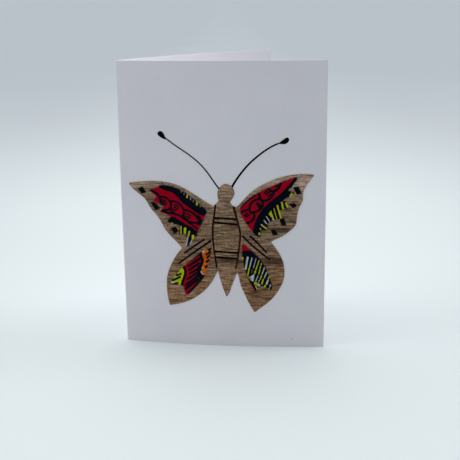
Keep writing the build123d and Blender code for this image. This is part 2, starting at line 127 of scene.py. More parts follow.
def mixed(tree, factor, first, second):
    return put(tree, "ShaderNodeMix", {0: factor, 6: first, 7: second}, data_type="RGBA").outputs[2]


def layered(tree, tone, layers):
    # each colour laid over the ones before, as far as its mask says
    for mask, colour in layers:
        tone = mixed(tree, mask, tone, colour)
    return tone


def clouds(tree, place, scale, detail, **feeds):
    feeds.update(Vector=place, Scale=scale, Detail=detail)
    return put(tree, "ShaderNodeTexNoise", feeds).outputs


def noiseFrom(tree, place, scale, detail, low=0.0, high=1.0, **feeds):
    # noise, which lies mostly between 0.3 and 0.7, spread from low to high
    return spread(tree, clouds(tree, place, scale, detail, **feeds)[0], 0.3, 0.7, low, high)


def jitter(tree, place, scale, detail, reach):
    # an offset in all directions, reach in millimetres
    centred = vectors(tree, "SUBTRACT", clouds(tree, place, scale, detail)["Color"], (0.5, 0.5, 0.5))
    return vectors(tree, "SCALE", centred, reach * mm)


def sway(tree, place, scale, reach):
    # an offset up and down, reach in millimetres
    return combined(tree, Z=noiseFrom(tree, place, scale, 1.0, -reach * mm, reach * mm))


def readPoint(tree, name, output="Fac"):
    return put(tree, "ShaderNodeAttribute", attribute_name=name).outputs[output]


def objectPlace(tree):
    return tree.nodes.new("ShaderNodeTexCoord").outputs["Object"]


def newGroup(name, kind, inputs, *outputs, outputKind="Float"):
    # an input's value is the kind of its socket, or the number that it starts with
    tree = bpy.data.node_groups.new(name, kind)
    for label, value in inputs.items():
        form = value if isinstance(value, str) else type(value).__name__.capitalize()
        socket = tree.interface.new_socket(label, in_out="INPUT", socket_type="NodeSocket" + form)
        if form != value:
            socket.default_value = value
    for label in outputs:
        tree.interface.new_socket(label, in_out="OUTPUT", socket_type="NodeSocket" + outputKind)
    return tree, tree.nodes.new("NodeGroupInput").outputs, tree.nodes.new("NodeGroupOutput").inputs


def effect(tree, group, **feeds):
    return put(tree, "ShaderNodeGroup", feeds, node_tree=group).outputs


def newMaterial(name, specular=None):
    made = bpy.data.materials.new(name)
    made.use_nodes = True
    tree = made.node_tree
    tree.nodes.clear()
    shader = put(tree, "ShaderNodeBsdfPrincipled", {"Specular IOR Level": specular})
    put(tree, "ShaderNodeOutputMaterial", {"Surface": shader.outputs[0]})
    return made, tree, shader


def finishMaterial(tree, shader, form, tone, share, height):
    # form has the roughness where share is 0 and where it is 1, and the bump's depth and strength
    depth, strength = form["bump"]
    bump = put(tree, "ShaderNodeBump", {"Height": height, "Distance": depth * mm, "Strength": strength})
    feed(tree, shader.inputs["Base Color"], tone)
    feed(tree, shader.inputs["Roughness"], spread(tree, share, 0.0, 1.0, *form["roughness"]))
    feed(tree, shader.inputs["Normal"], bump.outputs["Normal"])


# View and studio

view = dict(
    focal=69.694, sensor=36.0, nearest=0.01,
    place=(57.80, -472.59, 181.34), yaw=7.081, pitch=15.130, roll=-0.685,
)
studio = dict(
    skyColour=(0.95, 0.97, 1.0, 1.0), skyStrength=0.24, horizon=(187, 195, 202),
    # name, strength, spread, tilt about X and about Y
    lamps=[("overhead", 1.70, 80.0, -12.0, -10.0), ("leftPanel", 0.85, 60.0, 8.0, -73.0),
           ("rightPanel", 2.40, 30.0, -16.0, 84.0)],
    # the floor's colour in its painted pool of light near the card, and in the painted shade far off
    lampColour=(1.0, 0.99, 0.99), floorRadius=25.0, floorLitNear=(240, 250, 252), floorShadedFar=(192, 201, 208),
    floorRoughness=0.85, floorSpecular=0.2,
    # a painted pool of light: the floor's colour is brightest behind the card, along a line turned about Z,
    # with painted shade far off and to the sides; metres
    poolTurn=-7.08, poolY=0.22, poolReach=0.26, poolFront=0.45, poolCore=3.0, poolFade=-0.4,
    asideSpan=(0.05, 0.3), asideShade=0.13, cloudScale=3.0, cloudDepth=0.03,
)


def makeCamera():
    made = linked("camera", bpy.data.cameras.new("camera"))
    made.data.sensor_width = view["sensor"]
    made.data.lens = view["focal"]
    made.data.clip_start = view["nearest"]
    turn = (Matrix.Rotation(math.radians(view["yaw"]), 4, "Z")
            @ Matrix.Rotation(math.radians(90 - view["pitch"]), 4, "X")
            @ Matrix.Rotation(math.radians(view["roll"]), 4, "Z"))
    made.matrix_world = Matrix.Translation(Vector(view["place"]) * mm) @ turn
    bpy.context.scene.camera = made
    bpy.context.scene.view_settings.view_transform = "Standard"


def paleFloor():
    # the floor's colour paints a pool of light behind the card, fading to painted shade far off and to the
    # sides
    material, tree, shader = newMaterial("paleFloor", studio["floorSpecular"])
    place = objectPlace(tree)
    turn = math.radians(studio["poolTurn"])
    axes = axesOf(tree, rotated(tree, place, "Z_AXIS", turn))
    behind = maths(tree, "SUBTRACT", axes["Y"], studio["poolY"])
    behind = maths(tree, "MAXIMUM", behind, times(tree, behind, studio["poolFront"]))
    reach = put(tree, "ShaderNodeVectorMath", {0: combined(tree, X=axes["X"], Y=behind)},
                operation="LENGTH").outputs["Value"]
    ratio = maths(tree, "POWER", maths(tree, "DIVIDE", reach, studio["poolReach"]), studio["poolCore"])
    near = maths(tree, "POWER", maths(tree, "ADD", ratio, 1.0), studio["poolFade"])
    aside = spread(tree, maths(tree, "ABSOLUTE", axes["X"]), *studio["asideSpan"], 0.0, studio["asideShade"],
                   interpolation_type="SMOOTHSTEP")
    far = maths(tree, "ADD", maths(tree, "SUBTRACT", 1.0, near), aside)
    cloud = noiseFrom(tree, place, studio["cloudScale"], 3.0, -studio["cloudDepth"], studio["cloudDepth"])
    far = maths(tree, "ADD", far, cloud, clamp=True)
    feed(tree, shader.inputs["Base Color"],
         mixed(tree, far, paint(studio["floorLitNear"]), paint(studio["floorShadedFar"])))
    shader.inputs["Roughness"].default_value = studio["floorRoughness"]
    return material


def makeStudio():
    world = bpy.data.worlds.new("studio")
    bpy.context.scene.world = world
    world.use_nodes = True
    tree = world.node_tree
    tree.nodes.clear()
    sky = put(tree, "ShaderNodeBackground", {"Color": studio["skyColour"], "Strength": studio["skyStrength"]})
    wall = put(tree, "ShaderNodeBackground", {"Color": paint(studio["horizon"]), "Strength": 1.0})
    seen = tree.nodes.new("ShaderNodeLightPath").outputs["Is Camera Ray"]
    choice = put(tree, "ShaderNodeMixShader", {0: seen, 1: sky.outputs[0], 2: wall.outputs[0]})
    put(tree, "ShaderNodeOutputWorld", {"Surface": choice.outputs[0]})

    for name, strength, spreadAngle, tiltX, tiltY in studio["lamps"]:
        lamp = bpy.data.lights.new(name, "SUN")
        lamp.energy = strength
        lamp.color = studio["lampColour"]
        lamp.angle = math.radians(spreadAngle)
        linked(name, lamp).rotation_euler = (math.radians(tiltX), math.radians(tiltY), 0)

    bpy.ops.mesh.primitive_circle_add(vertices=128, radius=studio["floorRadius"], fill_type="TRIFAN")
    floor = bpy.context.object
    floor.name = "studioFloor"
    floor.data.materials.append(paleFloor())
    print("camera and studio made")


# Shared effects, each one shader node group

weaveForm = dict(wobble=0.22, wobbleScale=900.0, dip=0.55, slubs=(2200.0, 1.0, 160.0))
grainForm = dict(broad=(0.5, 1.0, 0.22), fine=(2.5, 1.0, 2.4), lineSpan=(0.49, 0.42), hairSpan=(0.35, 0.6),
                 hairBreak=0.55, hairHeight=0.5)
toothForm = dict(flockScale=700.0, flockHeight=0.6)
tornScale = 1500.0


def makePlainWeave():
    # warp and weft that pass over and under each other, in the X-Z plane
    tree, given, result = newGroup("plainWeave", "ShaderNodeTree", dict(
        Vector="Vector", Threads=3200.0, Turn=0.0, Unevenness=0.5), "Height", "Shade")
    turned = rotated(tree, given["Vector"], "Y_AXIS", given["Turn"])
    wobble = jitter(tree, turned, weaveForm["wobbleScale"], 2.0, weaveForm["wobble"])
    axes = axesOf(tree, vectors(tree, "ADD", turned, wobble))
    warp, weft = [times(tree, axes[name], given["Threads"]) for name in "XZ"]
    warpBulge, weftBulge = [
        maths(tree, "ABSOLUTE", maths(tree, "SINE", times(tree, threads, math.pi)))
        for threads in (warp, weft)]
    cells = maths(tree, "ADD", maths(tree, "FLOOR", warp), maths(tree, "FLOOR", weft))
    over = maths(tree, "FLOORED_MODULO", cells, 2.0)
    warpTop, weftTop = [
        times(tree, bulge, spread(tree, other, 0.0, 1.0, weaveForm["dip"], 1.0))
        for bulge, other in ((warpBulge, weftBulge), (weftBulge, warpBulge))]
    top = maths(tree, "ADD", times(tree, warpTop, over),
                times(tree, weftTop, maths(tree, "SUBTRACT", 1.0, over)))
    slubs = take(tree, "ShaderNodeMapping", {"Vector": turned, "Scale": weaveForm["slubs"]})
    uneven = times(tree, noiseFrom(tree, slubs, 1.0, 2.0, -0.5, 0.5), given["Unevenness"])
    feed(tree, result["Height"], maths(tree, "ADD", top, uneven))
    feed(tree, result["Shade"], maths(tree, "ADD", top, uneven, clamp=True))
    return tree


def makeFibreGrain():
    # long fibres that run along the first axis of the vector, with broad and fine streaks
    tree, given, result = newGroup("fibreGrain", "ShaderNodeTree", dict(
        Vector="Vector", Along=40.0, Across=1300.0, Seed=0.0), "Streak", "Line", "Height")
    axes = axesOf(tree, given["Vector"])
    along = times(tree, axes["X"], given["Along"])
    across = times(tree, axes["Z"], given["Across"])
    grain = combined(tree, X=along, Y=given["Seed"], Z=across)
    broad, fine = [vectors(tree, "MULTIPLY", grain, grainForm[name]) for name in ("broad", "fine")]
    strand = clouds(tree, grain, 1.0, 2.0, Roughness=0.5)[0]
    hair = clouds(tree, fine, 1.0, 1.0)[0]
    broken = spread(tree, hair, *grainForm["hairSpan"], 1.0, grainForm["hairBreak"])
    feed(tree, result["Streak"], noiseFrom(tree, broad, 1.0, 3.0, Roughness=0.6))
    feed(tree, result["Line"], times(tree, spread(tree, strand, *grainForm["lineSpan"]), broken))
    feed(tree, result["Height"], maths(
        tree, "ADD", strand, times(tree, hair, grainForm["hairHeight"])))
    return tree


def makePaperTooth():
    # the fine tooth of card stock, and a broad mottle of its colour
    tree, given, result = newGroup("paperTooth", "ShaderNodeTree", dict(
        Vector="Vector", Tooth=3000.0, Cloud=45.0), "Height", "Mottle")
    tooth = clouds(tree, given["Vector"], given["Tooth"], 4.0, Roughness=0.7)[0]
    flocks = clouds(tree, given["Vector"], toothForm["flockScale"], 2.0)[0]
    feed(tree, result["Height"], maths(
        tree, "ADD", tooth, times(tree, flocks, toothForm["flockHeight"])))
    feed(tree, result["Mottle"], noiseFrom(tree, given["Vector"], given["Cloud"], 3.0, Roughness=0.6))
    return tree


def makeRimWear():
    # 1 at the cut edge of a layer, fading inwards; reads the piece's own rim attribute, in millimetres
    tree, given, result = newGroup("rimWear", "ShaderNodeTree", dict(
        Vector="Vector", Width=0.4, Raggedness=0.5), "Mask")
    torn = noiseFrom(tree, given["Vector"], tornScale, 2.0, -0.5, 0.5)
    torn = times(tree, torn, given["Raggedness"])
    share = maths(tree, "DIVIDE", readPoint(tree, "rim"), given["Width"])
    feed(tree, result["Mask"], maths(tree, "SUBTRACT", 1.0, maths(tree, "ADD", share, torn), clamp=True))
    return tree


plainWeave = makePlainWeave()
fibreGrain = makeFibreGrain()
paperTooth = makePaperTooth()
rimWear = makeRimWear()


# Geometry trees

def newTree(name, **inputs):
    inputs = dict(Geometry="Geometry", **inputs, Material="Material")
    return newGroup(name, "GeometryNodeTree", inputs, "Geometry", outputKind="Geometry")


def shifted(tree, geometry, **how):
    return take(tree, "GeometryNodeSetPosition", {"Geometry": geometry, **how})


def chance(tree, low, high, seed):
    made = put(tree, "FunctionNodeRandomValue", {2: low, 3: high, "Seed": seed}, data_type="FLOAT")
    return made.outputs[1]


def finishTree(tree, made, given, result):
    smooth = take(tree, "GeometryNodeSetShadeSmooth", {"Geometry": made})
    whole = take(tree, "GeometryNodeRealizeInstances", {"Geometry": smooth})
    dressed = put(tree, "GeometryNodeSetMaterial", {"Geometry": whole, "Material": given["Material"]})
    feed(tree, result["Geometry"], dressed.outputs[0])


def grown(name, source, tree, values, bevel=None):
    # runs a geometry tree on a mesh, then softens its edges, and returns the result as a plain object
    holder = linked(name, source)
    modifier = holder.modifiers.new("tree", "NODES")
    modifier.node_group = tree
    sockets = {item.name: item.identifier for item in tree.interface.items_tree if item.in_out == "INPUT"}
    for label, value in values.items():
        modifier[sockets[label]] = value
    if bevel:
        softened = holder.modifiers.new("bevel", "BEVEL")
        for key, value in bevel.items():
            setattr(softened, key, value)
    bpy.context.view_layer.update()
    evaluated = holder.evaluated_get(bpy.context.evaluated_depsgraph_get())
    finished = bpy.data.meshes.new_from_object(evaluated)
    holder.modifiers.clear()
    holder.data = finished
    finished.name = name
    return holder


# The card

cardSheet = dict(
    foldX=-52.511, foldY=-35.458, panelWidth=105.0, height=148.0, thickness=0.36,
    frontBow=385.0, backBow=200.0, openingAngle=46.3, creaseRadius=0.45, creaseSteps=8, foldOverrun=0.52,
    columnStep=1.4, rows=60, wave=0.05, waveScale=22.0, weld=0.002, edgeSoftening=0.12, edgeAngle=50.0,
    colour=(235, 233, 239), mottle=(231, 229, 236), roughness=(0.57, 0.67), specular=0.35, bump=(0.035, 0.6),
    # the cut upper and lower edges are painted whiter, a painted highlight, wholly so within cutDepth of them
    cutHighlightColour=(253, 253, 253), cutDepth=0.04,
    # X, Z, width and height
    specks=[(35.5, 4.6, 0.6, 0.55), (31.0, 125.3, 0.24, 0.28),
            (-30.8, 139.5, 0.36, 0.3), (-30.9, 141.9, 0.2, 0.3)],
    speckColour=(50, 46, 46), speckDepth=0.06, speckRoughness=0.8,
)
frontHalf = cardSheet["panelWidth"] / cardSheet["frontBow"] / 2
frontCentreX = cardSheet["foldX"] + cardSheet["frontBow"] * math.sin(frontHalf)
frontCentreY = cardSheet["foldY"] + cardSheet["frontBow"] * math.cos(frontHalf)


def onPanel(x, z, lift):
    # a place on the front panel, lift millimetres proud of it, in metres
    y = frontCentreY - np.sqrt((cardSheet["frontBow"] + lift) ** 2 - (x - frontCentreX) ** 2)
    return np.column_stack([x, y, z]) * mm


def sheetProfile():
    # the outer face seen from above, from the back free edge round the crease to the front free edge
    fold = Vector((cardSheet["foldX"], cardSheet["foldY"]))
    opening = math.radians(cardSheet["openingAngle"])
    backHalf = cardSheet["panelWidth"] / cardSheet["backBow"] / 2
    columns = round(cardSheet["panelWidth"] / cardSheet["columnStep"])

    def arc(begin, radius, half, turn, side, overrun):
        found = []
        for index in range(columns + 1):
            angle = half - (2 * half + overrun / radius) * (1 - index / columns)
            along = radius * (math.sin(angle) + math.sin(half))
            bulge = radius * (math.cos(angle) - math.cos(half))
            spot = Vector((along, -side * bulge))
            spot.rotate(Matrix.Rotation(turn, 2))
            found.append(begin + spot)
        return found

    # the front runs on a little past the fold line, as far as the crease bulges
    front = arc(fold, cardSheet["frontBow"], frontHalf, 0.0, 1, cardSheet["foldOverrun"])
    fold = front[0]
    back = arc(fold, cardSheet["backBow"], backHalf, opening, -1, 0.0)
    frontRun = (front[1] - front[0]).normalized()
    backRun = (back[1] - back[0]).normalized()
    halfCorner = frontRun.angle(backRun) / 2
    radius, steps = cardSheet["creaseRadius"], cardSheet["creaseSteps"]
    setBack = radius / math.tan(halfCorner)
    centre = fold + (frontRun + backRun).normalized() * radius / math.sin(halfCorner)
    start, end = fold + frontRun * setBack - centre, fold + backRun * setBack - centre
    crease = [centre + start.slerp(end, step / steps).normalized() * radius for step in range(steps + 1)]
    return list(reversed(back[1:])) + list(reversed(crease)) + front[1:]


def makeSheetTree():
    # a sheet that stands on the line it is given, thickened inwards
    tree, given, result = newTree("foldedSheet", Columns=100, Rows=40, Height=0.1, Thickness=0.0004, Wave=0.0)
    grid = take(tree, "GeometryNodeMeshGrid", {"Vertices X": given["Columns"], "Vertices Y": given["Rows"]})
    index = take(tree, "GeometryNodeInputIndex")
    column = maths(tree, "FLOOR", maths(tree, "DIVIDE", index, given["Rows"]))
    row = maths(tree, "SUBTRACT", index, times(tree, column, given["Rows"]))
    level = maths(tree, "DIVIDE", row, maths(tree, "SUBTRACT", given["Rows"], 1.0))
    rise = combined(tree, Z=times(tree, level, given["Height"]))
    place = take(tree, "GeometryNodeInputPosition")
    base = take(tree, "GeometryNodeSampleIndex", {
        "Geometry": given["Geometry"], "Value": place, "Index": column}, data_type="FLOAT_VECTOR")
    wall = shifted(tree, grid, Position=vectors(tree, "ADD", base, rise))
    normal = take(tree, "GeometryNodeInputNormal")
    swell = noiseFrom(tree, place, cardSheet["waveScale"], 1.0, -1.0, 0.0)
    swell = vectors(tree, "SCALE", normal, times(tree, swell, given["Wave"]))
    wall = shifted(tree, wall, Offset=swell)
    inside = put(tree, "GeometryNodeExtrudeMesh", {
        "Mesh": wall, "Offset": normal, "Offset Scale": times(tree, given["Thickness"], -1.0),
        "Individual": False}).outputs["Mesh"]
    both = tree.nodes.new("GeometryNodeJoinGeometry")
    tree.links.new(take(tree, "GeometryNodeFlipFaces", {"Mesh": inside}), both.inputs[0])
    tree.links.new(wall, both.inputs[0])
    closed = take(tree, "GeometryNodeMergeByDistance", {
        "Geometry": both.outputs[0], "Distance": cardSheet["weld"] * mm})
    finishTree(tree, closed, given, result)
    return tree


def cardStock():
    material, tree, shader = newMaterial("cardStock", cardSheet["specular"])
    place = objectPlace(tree)
    tooth = effect(tree, paperTooth, Vector=place)
    half = cardSheet["height"] * mm / 2
    fromMiddle = maths(tree, "ABSOLUTE", maths(tree, "SUBTRACT", axesOf(tree, place)["Z"], half))
    # painted highlight along the cut upper and lower edges
    cut = spread(tree, fromMiddle, half - cardSheet["edgeSoftening"] * mm, half - cardSheet["cutDepth"] * mm)
    tone = layered(tree, paint(cardSheet["colour"]), [
        (tooth["Mottle"], paint(cardSheet["mottle"])), (cut, paint(cardSheet["cutHighlightColour"]))])
    finishMaterial(tree, shader, cardSheet, tone, tooth["Mottle"], tooth["Height"])
    return material


def makeSpecks():
    # tiny dark flecks in the stock, each a flat pebble half sunk in it
    form = bmesh.new()
    for x, z, width, height in cardSheet["specks"]:
        made = bmesh.ops.create_icosphere(form, subdivisions=2, radius=0.5)
        spot = onPanel(np.array([x]), np.array([z]), 0.0)[0]
        scale = Matrix.Diagonal((width * mm, cardSheet["speckDepth"] * mm, height * mm, 1.0))
        bmesh.ops.transform(form, matrix=Matrix.Translation(spot) @ scale, verts=made["verts"])
    mesh = bpy.data.meshes.new("cardSpecks")
    form.to_mesh(mesh)
    form.free()
    material, _, shader = newMaterial("cardSpeck")
    shader.inputs["Base Color"].default_value = paint(cardSheet["speckColour"])
    shader.inputs["Roughness"].default_value = cardSheet["speckRoughness"]
    mesh.materials.append(material)
    made = linked("cardSpecks", mesh)
    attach(made, "root")


def makeCard():
    corners = sheetProfile()
    line = bpy.data.meshes.new("cardProfile")
    line.from_pydata([(x * mm, y * mm, 0) for x, y in corners],
                     [(index, index + 1) for index in range(len(corners) - 1)], [])
    card = grown("foldedCard", line, makeSheetTree(), {
        "Columns": len(corners), "Rows": cardSheet["rows"], "Material": cardStock(),
        **metres(cardSheet, "height", "thickness", "wave"),
    }, bevel=dict(width=cardSheet["edgeSoftening"] * mm, segments=2, limit_method="ANGLE",
                  angle_limit=math.radians(cardSheet["edgeAngle"]), harden_normals=True))
    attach(card, "root")
    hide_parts("folded_card")
    makeSpecks()
    print("card made,", len(card.data.polygons), "faces")


# Thin layers that lie on the front panel, cut to the outlines of their CAD nodes

meshing = dict(
    # points nearer than weld are one; the outer face lies within faceDepth of the front
    weld=0.003, faceDepth=0.02,
    # ring step and gap to the lattice, as shares of the lattice's finer step
    ringShare=1.5, finestRing=0.12, rimGap=0.6,
    sharpAngle=55.0,
)
# the kind and field of a stored attribute with this many numbers per point
attributeKinds = {1: ("FLOAT", "value"), 3: ("FLOAT_VECTOR", "vector"), 4: ("FLOAT_COLOR", "color")}


def store(mesh, name, values):
    kind, field = attributeKinds[values.size // len(values)]
    mesh.attributes.new(name, kind, "POINT").data.foreach_set(field, values.astype(np.float32).ravel())


def faceLoops(node):
    # the outlines of the node's outer face, as closed rings of X and Z in millimetres
    shape = bmesh.new()
    shape.from_mesh(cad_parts[node].data)
    bmesh.ops.remove_doubles(shape, verts=shape.verts, dist=meshing["weld"] * mm)
    radius = {spot: math.hypot(spot.co.x / mm - frontCentreX, spot.co.y / mm - frontCentreY)
              for spot in shape.verts}
    outer = max(radius.values()) - meshing["faceDepth"]
    onFace = [face for face in shape.faces if all(radius[spot] > outer for spot in face.verts)]
    known = set(onFace)
    follow = {}
    for face in onFace:
        for corner in face.loops:
            if sum(other in known for other in corner.edge.link_faces) == 1:
                follow.setdefault(corner.vert, []).append(corner.link_loop_next.vert)
    loops = []
    while follow:
        ring = [next(iter(follow))]
        while follow.get(ring[-1]):
            step = follow[ring[-1]].pop()
            if not follow[ring[-1]]:
                del follow[ring[-1]]
            if step == ring[0]:
                break
            ring.append(step)
        if len(ring) > 2:
            loops.append(np.array([(spot.co.x / mm, spot.co.z / mm) for spot in ring]))
    shape.free()
    return loops


def signedArea(loop):
    # above 0 for a ring that runs counterclockwise seen from the front
    return np.sum(loop[:, 0] * np.roll(loop[:, 1], -1) - loop[:, 1] * np.roll(loop[:, 0], -1)) / 2


def divided(loop, step):
    found = []
    for start, end in zip(loop, np.roll(loop, -1, axis=0)):
        parts = max(1, math.ceil(np.hypot(*(end - start)) / step))
        found += [start + (end - start) * index / parts for index in range(parts)]
    return np.array(found)


def ringEdges(rings):
    edges, first = [], 0
    for ring in rings:
        edges += [(first + index, first + (index + 1) % len(ring)) for index in range(len(ring))]
        first += len(ring)
    return edges


def insideOf(points, loops):
    inside = np.zeros(len(points), bool)
    for loop in loops:
        for (ax, az), (bx, bz) in zip(loop, np.roll(loop, -1, axis=0)):
            if az == bz:
                continue
            crosses = (points[:, 1] < max(az, bz)) & (points[:, 1] >= min(az, bz))
            reach = ax + (points[:, 1] - az) * (bx - ax) / (bz - az)
            inside ^= crosses & (points[:, 0] < reach)
    return inside


def segmentDistance(points, starts, ends):
    nearest = np.full(len(points), np.inf)
    for start, end in zip(starts, ends):
        run = end - start
        share = np.clip(((points - start) @ run) / max(run @ run, 1e-12), 0, 1)
        gap = points - start - share[:, None] * run
        nearest = np.minimum(nearest, np.hypot(*gap.T))
    return nearest


def segments(loops):
    return np.vstack(loops), np.vstack([np.roll(loop, -1, axis=0) for loop in loops])


def rimDistance(points, loops):
    return segmentDistance(points, *segments(loops))


def filled(loops, stepX, stepZ):
    # points that fill the rings on a lattice, after one ring point for each of the edges
    finer = min(stepX, stepZ)
    rings = [divided(loop, max(finer * meshing["ringShare"], meshing["finestRing"])) for loop in loops]
    low = np.min([ring.min(axis=0) for ring in rings], axis=0)
    high = np.max([ring.max(axis=0) for ring in rings], axis=0)
    xs = np.arange(low[0] + stepX / 2, high[0], stepX)
    zs = np.arange(low[1] + stepZ / 2, high[1], stepZ)
    lattice = np.array([(x + stepX / 2 * (row % 2), z) for row, z in enumerate(zs) for x in xs])
    lattice = lattice[insideOf(lattice, loops)]
    lattice = lattice[rimDistance(lattice, loops) > finer * meshing["rimGap"]]
    return np.vstack([*rings, lattice]), ringEdges(rings)


def triangles(points, edges, loops, stepX, stepZ):
    scaled = [Vector((x / stepX, z / stepZ)) for x, z in points]
    found = delaunay_2d_cdt(scaled, edges, [], 1, 1e-7)
    if len(found[0]) != len(points):
        raise ValueError("the outline crosses itself")
    faces = np.array(found[2])
    return faces[insideOf(points[faces].mean(axis=1), loops)]


def makeLayer(name, loops, form, relief, material):
    # one closed thin piece: a fine relief on top, a plain underside and the cut edge between
    top, edges = filled(loops, *form["step"])
    rim = rimDistance(top, loops)
    rim[:len(edges)] = 0
    under, underEdges = filled(loops, form["underStep"], form["underStep"])
    under = np.vstack([top[:len(edges)], under[len(underEdges):]])
    spots = np.vstack([
        onPanel(top[:, 0], top[:, 1], form["base"] + relief(top, rim)),
        onPanel(under[:, 0], under[:, 1], form["base"]),
    ])
    count = len(top)
    faces = triangles(top, edges, loops, *form["step"]).tolist()
    faces += (triangles(under, edges, loops, 1.0, 1.0)[:, ::-1] + count).tolist()
    faces += [(b, a, count + a, count + b) for a, b in edges]
    mesh = bpy.data.meshes.new(name)
    mesh.from_pydata(spots.tolist(), [], faces)
    mesh.update()
    mesh.shade_smooth()
    mesh.set_sharp_from_angle(angle=math.radians(meshing["sharpAngle"]))
    store(mesh, "rim", np.concatenate([rim, rimDistance(under, loops)]))
    mesh.materials.append(material)
    made = linked(name, mesh)
    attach(made, "root")
    return made, np.vstack([top, under])


def rippled(points, scaleX, scaleZ, seed):
    return np.array([noise.noise(Vector((x * scaleX, z * scaleZ, seed))) for x, z in points])


def cutRounding(rim, form):
    # how far the top sinks towards the cut edge
    return form["cutDrop"] * np.clip(1 - rim / form["cutRound"], 0, 1) ** 2


# Loose threads, as tapered closed tubes

threadForm = dict(
    # a frayed thread's points, as shares of its length from the cut edge outwards
    points=6, start=-0.2, step=0.24,
    # lean about X, Y and Z
    lean=(0.3, 0.9, 0.25), curl=0.3, curlScale=1800.0,
    tipTaper=0.12, taperPower=0.6, ringStep=0.3,
)


def tubesAlong(tree, lines, given, result, sides):
    # tubes along loose lines, as the last nodes of a tree
    curve = take(tree, "GeometryNodeMeshToCurve", {"Mesh": lines})
    along = tree.nodes.new("GeometryNodeSplineParameter").outputs["Factor"]
    tip = threadForm["tipTaper"]
    taper = maths(tree, "SINE", spread(tree, along, 0.0, 1.0, tip, math.pi - tip))
    radius = times(tree, maths(tree, "POWER", taper, threadForm["taperPower"]), given["Radius"])
    ring = take(tree, "GeometryNodeCurvePrimitiveCircle", {"Resolution": sides, "Radius": 1.0})
    tubes = take(tree, "GeometryNodeCurveToMesh", {
        "Curve": curve, "Profile Curve": ring, "Scale": radius, "Fill Caps": True})
    finishTree(tree, tubes, given, result)


def makeFrayTree():
    # short threads that stand out from a cut edge, a ring that runs counterclockwise seen from the front
    tree, given, result = newTree(
        "frayedRim", Spacing=0.0003, Shortest=0.0002, Longest=0.0008, Radius=0.00003, Share=0.5, Seed=1)

    def salted(low, high, salt):
        return chance(tree, low, high, maths(tree, "ADD", given["Seed"], salt))

    rim = take(tree, "GeometryNodeMeshToCurve", {"Mesh": given["Geometry"]})
    spots = put(tree, "GeometryNodeCurveToPoints", {
        "Curve": rim, "Length": given["Spacing"]}, mode="LENGTH").outputs
    outward = vectors(tree, "CROSS_PRODUCT", spots["Tangent"], (0.0, -1.0, 0.0))
    facing = take(tree, "FunctionNodeAlignRotationToVector", {"Vector": outward}, axis="X")
    leanX, leanY, leanZ = [salted(-most, most, salt) for salt, most in enumerate(threadForm["lean"], 1)]
    lean = combined(tree, X=leanX, Y=leanY, Z=leanZ)
    thread = take(tree, "GeometryNodeMeshLine", {
        "Count": threadForm["points"], "Start Location": (threadForm["start"], 0.0, 0.0),
        "Offset": (threadForm["step"], 0.0, 0.0)})
    size = combined(tree, X=salted(given["Shortest"], given["Longest"], 4), Y=1.0, Z=1.0)
    kept = take(tree, "FunctionNodeCompare", {0: salted(0.0, 1.0, 5), 1: given["Share"]},
               operation="LESS_THAN")
    laid = take(tree, "GeometryNodeInstanceOnPoints", {
        "Points": spots["Points"], "Selection": kept, "Instance": thread, "Rotation": facing,
        "Scale": size})
    laid = take(tree, "GeometryNodeRotateInstances", {"Instances": laid, "Rotation": lean})
    loose = take(tree, "GeometryNodeRealizeInstances", {"Geometry": laid})
    place = take(tree, "GeometryNodeInputPosition")
    curl = jitter(tree, place, threadForm["curlScale"], 1.0, threadForm["curl"])
    loose = shifted(tree, loose, Offset=curl)
    tubesAlong(tree, loose, given, result, 4)
    return tree


frayTree = makeFrayTree()


def frayed(name, loops, lift, form, seed, material, stored):
    # loose threads round the rings; stored gives the attributes at the ring points
    rings = [divided(loop if signedArea(loop) > 0 else loop[::-1], threadForm["ringStep"]) for loop in loops]
    points = np.vstack(rings)
    source = bpy.data.meshes.new(name)
    source.from_pydata(onPanel(points[:, 0], points[:, 1], lift).tolist(), ringEdges(rings), [])
    for label, values in stored(points).items():
        store(source, label, values)
    fray = form["fray"]
    made = grown(name, source, frayTree, {
        "Share": fray["share"], "Seed": seed, "Material": material,
        **metres(fray, "spacing", "shortest", "longest", "radius")})
    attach(made, "root")
    return made


# Butterfly of banana fibre

